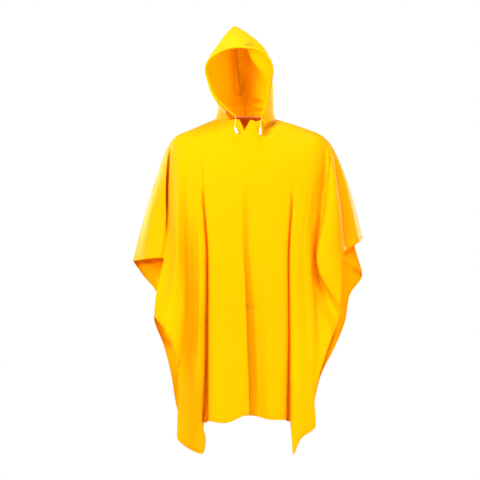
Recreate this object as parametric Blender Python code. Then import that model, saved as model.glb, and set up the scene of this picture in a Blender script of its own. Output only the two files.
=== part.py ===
"""Hooded rain poncho of coated yellow cloth, worn, with nobody inside it.

The front faces -Y, and +X is the viewer's right when the front is looked at.
The origin is the middle of the neck opening, at the height where the shoulders carry the cloth.
Sizes in the tables are millimetres. Each panel is a wall round a middle surface, and each row of a
fold table is one ridge, groove or edge of the draped cloth, followed from the neck to the panel's rim.
"""

import math
from collections import namedtuple

import bpy
import numpy as np

MM = 0.001  # metres in a millimetre
CLOTH = 2.0  # thickness of the cloth walls
SEAM = 0.3  # gap left where two pieces are sewn together

# Neck opening, an oval hole in the poncho's sheet
NECK_X = -10.0
NECK_Y = -8.0
NECK_HALF_WIDTH = 102.0
NECK_FRONT = 85.0
NECK_BACK = 72.0
NECK_SIDE_Z = -1.0
NECK_BACK_Z = 12.0
NECK_LEAN = 0.28  # how far the front edge comes forward for each millimetre that it dips

# Height of the neck's edge across the front: a V slit between two flaps, the left one higher
Edge = namedtuple("Edge", "x z")
NECKLINE = [
    Edge(-112, NECK_SIDE_Z),
    Edge(-82, -10),
    Edge(-44, 0),
    Edge(-14, -42),
    Edge(9, -3),
    Edge(28, -8),
    Edge(42, -4),
    Edge(60, -18),
    Edge(78, -10),
    Edge(92, NECK_SIDE_Z),
]

# Shoulders: the ring where the cloth leaves the body and begins to hang
RIGHT_SHOULDER_X = -260.0
LEFT_SHOULDER_X = 272.0
SHOULDER_Z = -70.0
RIGHT_SHOULDER_RISE = 3.0  # how far the shoulder's line arches over a straight one
LEFT_SHOULDER_RISE = 8.0
UPPER_BACK_RISE = 24.0  # the same, for the middle of the back
CHEST_Y = -135.0
CHEST_Z = -200.0
BLADES_Y = 112.0
BLADES_Z = -190.0
CHEST_BOW = 0.7  # below 1 the chest and the back are flatter in the middle than an oval

# psi is the angle round the neck from the middle of the front (or back), minus to the viewer's left.
# high and low are two points on the way down, at these shares of the drop from shoulder to rim.
Fold = namedtuple("Fold", "name psi high_x high_y low_x low_y rim_x rim_y rim_z high_at low_at")
Fold.__new__.__defaults__ = (0.35, 0.70)
FRONT_FOLDS = [
    Fold("arm top", -90, -323, 0, -368, 0, -400, 0, -494),
    Fold("arm front", -87.6, -305, -50, -336, -62, -352, -72, -486),
    Fold("arm inner lip", -84.5, -292, -72, -296, -84, -311, -92, -482),
    Fold("armpit groove", -79.5, -285, -56, -289, -66, -304, -76, -484),
    Fold("side edge top", -74.5, -274, -82, -281, -94, -299, -106, -488),
    Fold("side edge bow", -70, -264, -104, -275, -113, -318, -116, -600, 0.35, 0.73),
    Fold("side edge tip", -65.5, -254, -126, -267, -131, -326, -122, -676, 0.35, 0.72),
    Fold("outer ridge", -60, -244, -146, -250, -158, -294, -150, -738),
    Fold("outer ridge foot", -54.5, -229, -138, -231, -146, -261, -140, -786),
    Fold("soft valley", -49, -204, -112, -200, -98, -248, -108, -930),
    Fold("tail outer", -45.5, -178, -138, -188, -134, -247, -130, -1106),
    Fold("tail corner", -43, -164, -146, -170, -156, -160, -156, -1166),
    Fold("tail inner", -40.5, -155, -136, -159, -142, -147, -130, -1116),
    Fold("deep pleat side", -38.9, -152, -104, -153, -108, -158, -94, -1066),
    Fold("deep pleat outer", -37.3, -149.5, -64, -150.5, -54, -154, -24, -1058),
    Fold("deep pleat inner", -36.1, -142.5, -62, -143.5, -52, -146, -20, -1056),
    Fold("deep pleat lap", -34.6, -140.5, -106, -140.5, -110, -142, -100, -1052),
    Fold("centre lip", -33, -139, -150, -138, -160, -141, -170, -1051),
    Fold("centre swell", -19.5, -80, -164, -80, -178, -82, -192, -1059),
    Fold("middle ridge", -4.5, -15, -164, -2, -180, 4, -188, -1028),
    Fold("middle step", -0.5, 10, -142, 20, -146, 29, -152, -1034),
    Fold("right swell", 11, 70, -158, 76, -172, 80, -184, -1047),
    Fold("right lip", 28, 136, -148, 133, -158, 130, -168, -1048),
    Fold("right pleat lap", 30.2, 137.5, -106, 134, -110, 132, -100, -1049),
    Fold("right pleat inner", 31.9, 139.5, -62, 137, -52, 135, -20, -1051),
    Fold("right pleat outer", 33.1, 146, -64, 144, -54, 142, -24, -1053),
    Fold("right pleat side", 34.8, 148, -104, 147, -108, 145, -94, -1056),
    Fold("right tail inner", 36.8, 150, -138, 150, -146, 145, -146, -1060),
    Fold("right tail lip", 39.5, 156, -148, 158, -156, 151, -158, -1112),
    Fold("right tail corner", 43, 166, -150, 172, -158, 158, -160, -1170),
    Fold("right tail foot", 46.5, 178, -144, 188, -148, 184, -152, -1114),
    Fold("right tail outer", 50.5, 190, -136, 208, -134, 236, -130, -1066),
    Fold("right waist", 54.5, 201, -128, 222, -122, 231, -122, -974),
    Fold("right flank", 59, 206, -120, 232, -108, 249, -110, -890),
    Fold("behind tongue", 65, 223, -86, 218, -84, 293, -92, -762),
    Fold("tongue valley", 71, 251, -44, 233, -48, 318, -66, -702),
    Fold("tongue ridge", 76.5, 269, -122, 245, -150, 321, -122, -664, 0.35, 0.73),
    Fold("tongue face", 79, 288, -114, 292, -138, 326, -122, -560),
    Fold("tongue back", 81.5, 307, -86, 320, -104, 331, -106, -460),
    Fold("arm valley", 84, 318, -58, 340, -66, 350, -80, -446),
    Fold("left arm front", 87, 330, -38, 358, -42, 376, -48, -432),
    Fold("left arm top", 90, 336, 0, 374, 0, 400, 0, -418),
]
BACK_FOLDS = [
    Fold("arm top", -90, -323, 0, -368, 0, -400, 0, -494),
    Fold("arm back", -85, -312, 46, -346, 34, -362, 26, -548),
    Fold("side edge bow", -79, -292, 76, -306, 66, -318, 56, -604),
    Fold("armpit groove", -73, -276, 62, -289, 60, -306, 56, -648),
    Fold("side edge tip", -67, -262, 98, -284, 90, -327, 74, -690),
    Fold("outer ridge", -60, -244, 122, -262, 126, -294, 108, -786),
    Fold("soft valley", -52, -220, 108, -232, 106, -269, 100, -882),
    Fold("tail outer", -45, -194, 122, -206, 124, -240, 116, -1030),
    Fold("tail corner", -40, -172, 132, -180, 144, -182, 148, -1138),
    Fold("tail inner", -38.6, -160, 118, -164, 124, -158, 118, -1096),
    Fold("deep pleat side", -36.7, -156, 92, -158, 92, -156, 84, -1064),
    Fold("deep pleat outer", -35.8, -153, 56, -154, 44, -152, 20, -1048),
    Fold("deep pleat inner", -34.6, -146.5, 54, -147.5, 42, -145.5, 16, -1045),
    Fold("deep pleat lap", -33.3, -145, 94, -144, 96, -142, 90, -1042),
    Fold("centre lip", -31.6, -142, 126, -139, 142, -138, 156, -1040),
    Fold("centre swell", -15, -68, 138, -70, 158, -74, 180, -1046),
    Fold("middle valley", 1, 4, 124, 4, 132, 2, 142, -1032),
    Fold("left swell", 16, 70, 140, 70, 158, 70, 176, -1040),
    Fold("left lip", 31.6, 142, 126, 138, 142, 132, 158, -1036),
    Fold("left pleat lap", 33.3, 145, 94, 143, 96, 137, 90, -1038),
    Fold("left pleat inner", 34.6, 147, 54, 146, 42, 140, 16, -1041),
    Fold("left pleat outer", 35.8, 153.5, 56, 152.5, 44, 146.5, 20, -1044),
    Fold("left pleat side", 37.2, 156, 92, 157, 92, 151, 86, -1056),
    Fold("left tail inner", 39, 161, 120, 164, 126, 156, 122, -1078),
    Fold("left tail corner", 41.6, 176, 134, 184, 144, 178, 150, -1108),
    Fold("left tail outer", 46, 194, 122, 206, 124, 222, 118, -1010),
    Fold("left flank", 53, 220, 108, 232, 108, 255, 100, -888),
    Fold("left outer ridge", 60, 242, 124, 264, 126, 302, 104, -794),
    Fold("left side edge", 66, 262, 104, 292, 98, 338, 72, -702),
    Fold("left edge bow", 72, 280, 84, 316, 74, 354, 52, -612),
    Fold("elbow point", 79, 304, 66, 348, 46, 397, 26, -540),
    Fold("elbow valley", 85, 327, 40, 358, 32, 369, 22, -450),
    Fold("left arm top", 90, 336, 0, 374, 0, 400, 0, -418),
]

# Hood: each row joins a point of the face opening to a point of the middle seam, past the fold
# behind the stiff edge and the widest point of the side.
Rib = namedtuple("Rib", "edge_x edge_y edge_z fold_x fold_y side_x corner seam_x seam_y seam_z")
HOOD_RIGHT = [
    Rib(-84, -97, 42, -84, -62, -104, 0.68, -12, 76, 42),
    Rib(-112, -100, 72, -107, -60, -108, 0.66, -17, 98, 86),
    Rib(-127, -101, 100, -120, -56, -112, 0.64, -23, 115, 134),
    Rib(-139, -103, 136, -132, -52, -115, 0.64, -30, 122, 186),
    Rib(-147, -105, 168, -139, -50, -118, 0.62, -38, 112, 240),
    Rib(-144, -107, 190, -138, -52, -112, 0.54, -45, 92, 296),
    Rib(-135, -108, 206, -129, -52, -99, 0.43, -47, 76, 324),
    Rib(-119, -109, 221, -115, -56, -90, 0.45, -46, 54, 320),
    Rib(-97, -111, 234, -97, -68, -75, 0.48, -44, 4, 300),
    Rib(-70, -113, 245, -70, -86, -60, 0.50, -41, -54, 275),
    Rib(-56, -114, 247, -55, -103, -49, 0.50, -39, -104, 251),
]
HOOD_LEFT = [
    Rib(70, -97, 40, 64, -62, 87, 0.68, -12, 76, 42),
    Rib(77, -100, 70, 64, -60, 85, 0.66, -17, 98, 86),
    Rib(82, -101, 102, 64, -58, 82, 0.64, -23, 115, 134),
    Rib(86, -103, 140, 64, -58, 79, 0.64, -30, 122, 186),
    Rib(87, -105, 168, 65, -56, 74, 0.62, -38, 112, 240),
    Rib(82, -107, 190, 62, -54, 52, 0.56, -45, 92, 296),
    Rib(74, -108, 206, 54, -52, 27, 0.45, -47, 76, 324),
    Rib(65, -109, 220, 47, -56, 18, 0.46, -46, 54, 320),
    Rib(47, -111, 236, 34, -70, 8, 0.48, -44, 4, 300),
    Rib(14, -113, 247, 7, -88, -12, 0.50, -41, -54, 275),
    Rib(-22, -114, 249, -23, -103, -29, 0.50, -39, -104, 251),
]
FOLD_RISE = 0.16  # heights of a rib's fold, side and corner, as shares of the rise from edge to seam
SIDE_RISE = 0.5
CORNER_RISE = 0.84
SIDE_REACH = 0.45  # depths of its side and corner, as shares of the reach from fold to seam
CORNER_REACH = 0.88
HOOD_FOOT_RIGHT = 24.0  # degrees from the middle of the front where each half's foot begins
HOOD_FOOT_LEFT = 33.0
CASING_WIDTH = 15.0
CASING_THICK = 7.0
CASING_MIDDLE = (-35.0, 20.0, 130.0)  # the casing's thin way points away from here
CASING_END_RIGHT = (-45, -94, 8)
CASING_END_LEFT = (48, -94, 6)
BROW = (-39, -114, 250)

# Drawstring ends: they leave the casing's two lower ends and hang on the chest
CORD = 2.6
Point = namedtuple("Point", "x y z")
CORD_RIGHT = [
    Point(-43.5, -105, -8),
    Point(-44.5, -110, -18),
    Point(-44, -112, -29),
]
CORD_LEFT = [
    Point(45, -104, -8),
    Point(43, -110, -19),
    Point(42, -112, -30),
]
BEAD_LENGTH = 26.0
BEAD_RADIUS = 5.4
BEAD_LEAN_RIGHT = (0.55, -0.12, -0.85)
BEAD_LEAN_LEFT = (-0.02, -0.12, -1.0)

PANEL_COLUMN_STEP = 36.0  # usual spacing of the walls' columns along the rim
NARROW = 26.0  # a narrower strip between two folds has no column of its own inside it
LEVELS_TO_COLLAR = 2
LEVELS_TO_SHOULDER = 2
LEVELS_TO_HIGH = 3
LEVELS_TO_LOW = 3
LEVELS_TO_RIM = 3
HOOD_SPANS = (1, 3, 3, 3)  # columns from the hood's edge to its fold, side, corner and seam
LONGEST_CORNER = 1.4  # how far a wall's corner at a fold may stand out, in half thicknesses

YELLOW = (0.98, 0.68, 0.0)
WHITE = (0.95, 0.93, 0.78)


def clear_scene():
    for old in list(bpy.data.objects):
        bpy.data.objects.remove(old)


def finish(name, colour, roughness):
    """A plain Principled BSDF of one colour."""
    material = bpy.data.materials.new(name)
    material.use_nodes = True
    shader = material.node_tree.nodes["Principled BSDF"]
    shader.inputs["Base Color"].default_value = (*colour, 1.0)
    shader.inputs["Roughness"].default_value = roughness
    shader.inputs["Metallic"].default_value = 0.0
    return material


def spline(points, counts):
    """A smooth line through the points (centripetal Catmull-Rom), with counts[i] steps in span i."""
    points = np.asarray(points, float)
    first = 2 * points[0] - points[1]
    last = 2 * points[-1] - points[-2]
    padded = np.vstack([first, points, last])
    line = []
    for i, count in enumerate(counts):
        p = padded[i : i + 4]
        gaps = np.sqrt(np.maximum(np.linalg.norm(np.diff(p, axis=0), axis=1), 1e-6))
        k = np.concatenate([[0.0], np.cumsum(gaps)])
        for step in range(count):
            t = k[1] + (k[2] - k[1]) * step / count
            a = [((k[j + 1] - t) * p[j] + (t - k[j]) * p[j + 1]) / (k[j + 1] - k[j]) for j in range(3)]
            b = [((k[j + 2] - t) * a[j] + (t - k[j]) * a[j + 1]) / (k[j + 2] - k[j]) for j in range(2)]
            line.append(((k[2] - t) * b[0] + (t - k[1]) * b[1]) / (k[2] - k[1]))
    line.append(points[-1])
    return np.array(line)


def steady(points, counts):
    """A smooth line through the points, with counts[i] steps in span i, on which no column of numbers
    goes past its values at the points, so that the two sides of a narrow pleat stay apart."""
    points = np.asarray(points, float)
    gaps = np.linalg.norm(np.diff(points, axis=0), axis=1)[:, None]
    slopes = np.diff(points, axis=0) / gaps
    before, after = slopes[:-1], slopes[1:]
    middle = (before * gaps[1:] + after * gaps[:-1]) / (gaps[:-1] + gaps[1:])
    least = np.minimum(np.minimum(abs(before), abs(after)), abs(middle) / 2)
    tangents = np.vstack([slopes[:1], (np.sign(before) + np.sign(after)) * least, slopes[-1:]])
    line = []
    for i, count in enumerate(counts):
        for step in range(count):
            t = step / count
            line.append(
                (2 * t**3 - 3 * t**2 + 1) * points[i]
                + (3 * t**2 - 2 * t**3) * points[i + 1]
                + (t**3 - 2 * t**2 + t) * gaps[i] * tangents[i]
                + (t**3 - t**2) * gaps[i] * tangents[i + 1]
            )
    line.append(points[-1])
    return np.array(line)


def neck_point(psi, side):
    """A point of the neck's edge. side is -1 on the front and 1 on the back."""
    turn = math.radians(psi)
    depth = NECK_FRONT if side < 0 else NECK_BACK
    x = NECK_X + NECK_HALF_WIDTH * math.sin(turn)
    y = NECK_Y + side * depth * math.cos(turn)
    if side > 0:
        return np.array([x, y, NECK_SIDE_Z + (NECK_BACK_Z - NECK_SIDE_Z) * math.cos(turn)])
    z = float(np.interp(x, [edge.x for edge in NECKLINE], [edge.z for edge in NECKLINE]))
    return np.array([x, y + NECK_LEAN * min(0.0, z), z])


def shoulder_point(psi, side):
    """A point of the ring where the cloth leaves the shoulders, chest or back and starts to hang."""
    turn = math.radians(psi)
    depth, low = (CHEST_Y, CHEST_Z) if side < 0 else (BLADES_Y, BLADES_Z)
    x = LEFT_SHOULDER_X * math.sin(turn) if psi > 0 else -RIGHT_SHOULDER_X * math.sin(turn)
    y = depth * math.cos(turn) ** CHEST_BOW if abs(psi) < 90 else 0.0
    z = low + (SHOULDER_Z - low) * math.sin(turn) ** 2
    return np.array([x, y, z])


def draped_panel(folds, side):
    """The middle surface of the front (side -1) or back (side 1), as a grid of columns by levels."""
    rows = np.array([fold[1:] for fold in folds], float)
    rims = rows[:, 5:8]
    spans = np.linalg.norm(np.diff(rims, axis=0), axis=1)
    counts = [1 if span <= NARROW else 2 if span <= 2 * PANEL_COLUMN_STEP else 3 for span in spans]
    steps = [LEVELS_TO_COLLAR, LEVELS_TO_SHOULDER, LEVELS_TO_HIGH, LEVELS_TO_LOW, LEVELS_TO_RIM]
    columns = []
    for psi, high_x, high_y, low_x, low_y, rim_x, rim_y, rim_z, high_at, low_at in steady(rows, counts):
        neck = neck_point(psi, side)
        shoulder = shoulder_point(psi, side)
        across = math.sin(math.radians(psi)) ** 2
        rise = (LEFT_SHOULDER_RISE if psi > 0 else RIGHT_SHOULDER_RISE) * across
        if side > 0:
            rise += UPPER_BACK_RISE * (1 - across)
        collar = (neck + shoulder) / 2 + np.array([0, 0, rise])
        drop = rim_z - shoulder[2]
        high = (high_x, high_y, shoulder[2] + drop * high_at)
        low = (low_x, low_y, shoulder[2] + drop * low_at)
        points = [neck, collar, shoulder, high, low, (rim_x, rim_y, rim_z)]
        columns.append(spline(points, steps))
    return np.array(columns) + np.array([0.0, side * SEAM / 2, 0.0])


def hood_foot(psi, side):
    """A point of the hood's foot, which stands on the neck's edge, a seam's gap above its wall."""
    front = -1 if abs(psi) < 90 else 1
    turn = psi if front < 0 else side * (180 - abs(psi))
    neck = neck_point(turn, front)
    slope = shoulder_point(turn, front) - neck
    along = neck_point(turn + 1, front) - neck_point(turn - 1, front)
    upward = np.cross(along, slope)
    upward *= math.copysign(1, upward[2]) / np.linalg.norm(upward)
    return neck + np.array([0, 0, upward[2] * CLOTH / 2 + SEAM * 2])


def hood_half(ribs, side, first):
    """The middle surface of one half of the hood. side is -1 on the wearer's right (viewer's left)."""
    count = sum(HOOD_SPANS)
    rows = [[hood_foot(side * turn, side) for turn in np.linspace(first, 180, count + 1)]]
    for rib in ribs:
        edge = np.array(rib[0:3], float)
        seam = np.array(rib[7:10], float)
        rise = seam[2] - edge[2]
        reach = seam[1] - rib.fold_y
        fold = (rib.fold_x, rib.fold_y, edge[2] + FOLD_RISE * rise)
        flank = (rib.side_x, rib.fold_y + SIDE_REACH * reach, edge[2] + SIDE_RISE * rise)
        corner_x = seam[0] + rib.corner * (rib.side_x - seam[0])
        corner = (corner_x, rib.fold_y + CORNER_REACH * reach, edge[2] + CORNER_RISE * rise)
        line = spline([edge, fold, flank, corner, seam], HOOD_SPANS)
        heading = (line[1] - line[0]) / np.linalg.norm(line[1] - line[0])
        line[0] = edge + heading * (CASING_WIDTH / 2 + SEAM * 2)  # the casing lies in front of it
        rows.append(line)
    counts = [2] * len(ribs)
    grid = np.array([spline(line, counts) for line in np.array(rows).transpose(1, 0, 2)])
    return grid + np.array([side * SEAM / 2, 0.0, 0.0])


def grid_normals(grid, flat_start=None, flat_end=None):
    """Normals of a grid, longer at a fold, where an even wall's corner is further from its middle.

    At a seam, flat_start or flat_end names the axis that the normals there leave out.
    """
    faces = np.cross(grid[1:, 1:] - grid[:-1, :-1], grid[:-1, 1:] - grid[1:, :-1])
    faces /= np.linalg.norm(faces, axis=2, keepdims=True)
    faces = np.pad(faces, ((1, 1), (1, 1), (0, 0)), mode="edge")
    normals = (faces[:-1, :-1] + faces[1:, :-1] + faces[:-1, 1:] + faces[1:, 1:]) / 4
    reach = 1 / np.clip(np.linalg.norm(normals, axis=2, keepdims=True), 1 / LONGEST_CORNER, 1)
    if flat_start is not None:
        normals[0, :, flat_start] = 0
    if flat_end is not None:
        normals[-1, :, flat_end] = 0
    return normals / np.linalg.norm(normals, axis=2, keepdims=True) * reach


def cloth_wall(name, grid, normals, material, thickness=CLOTH):
    """A closed wall of even thickness round a grid of points, as one object."""
    columns, levels = grid.shape[:2]
    outer = grid + normals * thickness / 2
    inner = grid - normals * thickness / 2
    points = np.concatenate([outer.reshape(-1, 3), inner.reshape(-1, 3)]) * MM
    under = columns * levels
    faces = []
    for i in range(columns - 1):
        for j in range(levels - 1):
            a, b = i * levels + j, (i + 1) * levels + j
            for corners in ((a, b, b + 1), (a, b + 1, a + 1)):  # the same diagonal on both sides
                faces.append(corners)
                faces.append([under + corner for corner in corners[::-1]])
    rim = [i * levels for i in range(columns)]
    rim += [(columns - 1) * levels + j for j in range(1, levels)]
    rim += [i * levels + levels - 1 for i in range(columns - 2, -1, -1)]
    rim += [j for j in range(levels - 2, 0, -1)]
    for a, b in zip(rim, rim[1:] + rim[:1]):
        faces.append((b, a, under + a, under + b))
    return solid(name, points, faces, material)


def solid(name, points, faces, material):
    """One object from points in metres and faces, shaded smooth, with its faces pointing out."""
    mesh = bpy.data.meshes.new(name)
    mesh.from_pydata([tuple(p) for p in points], [], faces)
    mesh.update()
    volume = 0.0
    for polygon in mesh.polygons:
        corners = [mesh.vertices[v].co for v in polygon.vertices]
        for b, c in zip(corners[1:], corners[2:]):
            volume += corners[0].dot(b.cross(c))
    if volume < 0:
        mesh.flip_normals()
    mesh.materials.append(material)
    mesh.shade_smooth()
    mesh.set_sharp_from_angle(angle=math.radians(50))
    made = bpy.data.objects.new(name, mesh)
    bpy.context.scene.collection.objects.link(made)
    return made


def lofted(name, rings, material):
    """A closed solid through rings of points, with flat ends."""
    rings = np.asarray(rings)
    count, around = rings.shape[:2]
    faces = []
    for i in range(count - 1):
        for j in range(around):
            k = (j + 1) % around
            faces.append((i * around + j, i * around + k, (i + 1) * around + k, (i + 1) * around + j))
    faces.append(tuple(range(around))[::-1])
    faces.append(tuple((count - 1) * around + j for j in range(around)))
    return solid(name, rings.reshape(-1, 3) * MM, faces, material)


def build_body(cloth):
    front = draped_panel(FRONT_FOLDS, -1)
    cloth_wall("front_panel", front, grid_normals(front, 1, 1), cloth)
    back = draped_panel(BACK_FOLDS, 1)
    cloth_wall("back_panel", back, grid_normals(back, 1, 1), cloth)


def build_hood(cloth):
    right = hood_half(HOOD_RIGHT, -1, HOOD_FOOT_RIGHT)
    cloth_wall("hood_right", right, grid_normals(right, None, 0), cloth)
    left = hood_half(HOOD_LEFT, 1, HOOD_FOOT_LEFT)
    cloth_wall("hood_left", left, grid_normals(left, None, 0), cloth)


def casing_line():
    """The middle of the hood's casing, from the wearer's right end over the brow to the left end."""
    right = [rib[0:3] for rib in HOOD_RIGHT[:-1]]
    left = [rib[0:3] for rib in HOOD_LEFT[:-1]]
    points = [CASING_END_RIGHT] + right + [BROW] + left[::-1] + [CASING_END_LEFT]
    return spline(points, [2] * (len(points) - 1))


def build_casing(cloth):
    """The turned hem round the face opening: a flat roll that holds the drawstring."""
    line = casing_line()
    middle = np.array(CASING_MIDDLE)
    rings = []
    for i, point in enumerate(line):
        ahead = line[min(i + 1, len(line) - 1)] - line[max(i - 1, 0)]
        ahead /= np.linalg.norm(ahead)
        outward = point - middle
        outward[1] = 0
        outward -= ahead * outward.dot(ahead)
        outward /= np.linalg.norm(outward)
        forward = np.cross(ahead, outward)
        ring = []
        for step in range(8):
            turn = 2 * math.pi * step / 8
            ring.append(
                point
                + outward * CASING_THICK / 2 * math.cos(turn)
                + forward * CASING_WIDTH / 2 * math.sin(turn)
            )
        rings.append(ring)
    lofted("hood_casing", rings, cloth)


def build_drawstring(name, exit_point, heading, route, lean, white):
    """A cord end, which leaves the casing's end along its heading, and the bead that closes it."""
    curve = bpy.data.curves.new(name, "CURVE")
    curve.dimensions = "3D"
    curve.bevel_depth = CORD / 2 * MM
    curve.bevel_resolution = 2
    curve.use_fill_caps = True
    start = exit_point + heading * SEAM
    line = spline([start, start + heading * 2] + list(route), [1] + [3] * len(route))
    strand = curve.splines.new("POLY")
    strand.points.add(len(line) - 1)
    for point, place in zip(strand.points, line):
        point.co = (*(place * MM), 1.0)
    curve.materials.append(white)
    made = bpy.data.objects.new(name, curve)
    bpy.context.scene.collection.objects.link(made)
    build_bead(name.replace("drawstring", "cord_end"), line[-1], line[-1] - line[-2], lean, white)


def build_bead(name, top, heading, lean, white):
    """The moulded bead on a cord's end, with its top face square to the cord and its foot leaning."""
    profile = ((0.0, 0.55), (0.08, 0.78), (0.25, 0.9), (0.8, 1.0), (0.95, 0.9), (1.0, 0.7))
    heading = heading / np.linalg.norm(heading)
    axis = np.array(lean, float) / np.linalg.norm(lean)
    centre = top + heading * SEAM
    rings = []
    for step, (share, width) in enumerate(profile):
        facing = heading if step == 0 else axis
        sideways = np.cross(facing, [0, 1, 0])
        sideways /= np.linalg.norm(sideways)
        forward = np.cross(facing, sideways)
        if step:
            centre = centre + axis * BEAD_LENGTH * (share - profile[step - 1][0])
        ring = []
        for side in range(12):
            turn = 2 * math.pi * side / 12
            ring.append(centre + BEAD_RADIUS * width * (sideways * math.cos(turn) + forward * math.sin(turn)))
        rings.append(ring)
    lofted(name, rings, white)


def main():
    clear_scene()
    cloth = finish("yellow coated cloth", YELLOW, 0.45)
    white = finish("white cord", WHITE, 0.5)
    build_body(cloth)
    build_hood(cloth)
    build_casing(cloth)
    line = casing_line()
    right_heading = (line[0] - line[1]) / np.linalg.norm(line[0] - line[1])
    left_heading = (line[-1] - line[-2]) / np.linalg.norm(line[-1] - line[-2])
    build_drawstring("drawstring_right", line[0], right_heading, CORD_RIGHT, BEAD_LEAN_RIGHT, white)
    build_drawstring("drawstring_left", line[-1], left_heading, CORD_LEFT, BEAD_LEAN_LEFT, white)


main()
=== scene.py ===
import math
from collections import namedtuple

import bpy
import numpy as np
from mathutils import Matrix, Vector
from numpy.linalg import norm


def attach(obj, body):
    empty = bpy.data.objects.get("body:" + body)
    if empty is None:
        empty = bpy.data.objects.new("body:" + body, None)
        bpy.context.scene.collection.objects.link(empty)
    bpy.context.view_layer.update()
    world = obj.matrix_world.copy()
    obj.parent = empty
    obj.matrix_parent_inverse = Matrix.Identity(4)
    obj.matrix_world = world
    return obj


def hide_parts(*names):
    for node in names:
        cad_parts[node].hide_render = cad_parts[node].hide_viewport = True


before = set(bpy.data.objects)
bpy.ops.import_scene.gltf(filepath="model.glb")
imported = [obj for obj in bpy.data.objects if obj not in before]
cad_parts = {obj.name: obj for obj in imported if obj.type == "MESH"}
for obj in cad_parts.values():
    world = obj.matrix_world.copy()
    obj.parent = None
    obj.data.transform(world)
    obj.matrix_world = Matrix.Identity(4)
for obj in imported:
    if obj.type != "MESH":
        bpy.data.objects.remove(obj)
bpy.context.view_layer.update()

# A yellow hooded rain poncho that hangs as worn, with nobody inside it.
# Sizes here are millimetres, and a mesh is turned into metres when it is made.
# -Y is the front, +X the viewer's right, and the origin is the middle of the neck.

metres = 0.001
print("poncho: frame loaded")

# The camera looks straight at the front, from so far that nothing narrows with distance
photo = {
    "pixels": 480,
    "mmPerPixel": 3.48,
    "neckAcross": 248,  # the pixel of the neck's middle
    "neckDown": 119,
    "distance": 6000,
}


def place(name, data):  # puts a new object in the scene
    thing = bpy.data.objects.new(name, data)
    bpy.context.scene.collection.objects.link(thing)
    return thing


def makeCamera():
    lens = bpy.data.cameras.new("camera")
    lens.type = "ORTHO"
    lens.ortho_scale = photo["pixels"] * photo["mmPerPixel"] * metres
    camera = place("camera", lens)
    right = (photo["pixels"] / 2 - photo["neckAcross"]) * photo["mmPerPixel"]
    down = (photo["pixels"] / 2 - photo["neckDown"]) * photo["mmPerPixel"]
    camera.location = (right * metres, -photo["distance"] * metres, -down * metres)
    camera.rotation_euler = (math.radians(90), 0, 0)
    bpy.context.scene.camera = camera
    bpy.context.scene.view_settings.view_transform = "Standard"  # keeps the yellow as strong as it is


makeCamera()


# A shader socket that can be used in sums, which add the Math nodes
class Wire:
    def __init__(self, finish, socket):
        self.finish = finish
        self.socket = socket

    def sum(self, operation, first, second):
        return self.finish.node("ShaderNodeMath", {"operation": operation}, {0: first, 1: second})

    def __add__(self, other):
        return self.sum("ADD", self, other)

    def __radd__(self, other):
        return self.sum("ADD", other, self)

    def __sub__(self, other):
        return self.sum("SUBTRACT", self, other)

    def __rsub__(self, other):
        return self.sum("SUBTRACT", other, self)

    def __mul__(self, other):
        return self.sum("MULTIPLY", self, other)

    def __rmul__(self, other):
        return self.sum("MULTIPLY", other, self)


# A material or the studio's surroundings: every node comes from one method
class Finish:
    def __init__(self, owner):
        self.owner = owner
        owner.use_nodes = True
        self.tree = owner.node_tree
        self.tree.nodes.clear()

    def node(self, kind, settings=None, values=None, output=0):
        made = self.tree.nodes.new(kind)
        for name, setting in (settings or {}).items():
            setattr(made, name, setting)
        for name, value in (values or {}).items():
            if isinstance(value, Wire):
                self.tree.links.new(value.socket, made.inputs[name])
            else:
                made.inputs[name].default_value = value
        return Wire(self, made.outputs[output]) if made.outputs else self.owner

    def noise(self, scale, detail=2.0, stretch=(1, 1, 1)):
        where = self.node("ShaderNodeTexCoord", output="Object")
        spot = self.node("ShaderNodeMapping", {}, {"Vector": where, "Scale": stretch})
        return self.node("ShaderNodeTexNoise", {}, {"Vector": spot, "Scale": scale, "Detail": detail})

    def mixColour(self, share, first, second):
        return self.node("ShaderNodeMix", {"data_type": "RGBA"}, {0: share, 6: first, 7: second}, 2)

    def bump(self, height, distance):
        return self.node("ShaderNodeBump", {}, {"Height": height, "Distance": distance})

    def principled(self, values):
        return self.node("ShaderNodeBsdfPrincipled", {}, values)

    def done(self, surface):
        return self.node("ShaderNodeOutputMaterial", {}, {"Surface": surface})


def newFinish(name):
    return Finish(bpy.data.materials.new(name))


# Coated rain cloth: light comes through it, so its shaded side glows orange
rainCloth = {
    "yellow": (0.96, 0.56, 0.0, 1),
    "yellowWorn": (0.95, 0.54, 0.0, 1),
    "shaded": (0.42, 0.085, 0.0, 1),  # painted shade colour, mixed in where a fold or a second layer keeps the light out
    "glow": (1.0, 0.60, 0.0, 1),
    "glowShare": 0.48,
    # the hood's cloth glows less, so that its inside looks darker: painted shade
    "hoodShadeGlowShare": 0.42,
    "roughness": 0.56,
    "shine": 0.2,
    "shineTint": (1.0, 0.75, 0.05, 1),
    "sheen": 0.06,
    "sheenTint": (1.0, 0.72, 0.10, 1),
    "grain": 1400,  # the coating's fine grain, waves in each metre
    "crinkle": 26,
    "crinkleStretch": (1, 1, 0.55),
    "patches": 3.1,
    "relief": 0.0009,  # in metres
}


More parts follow.
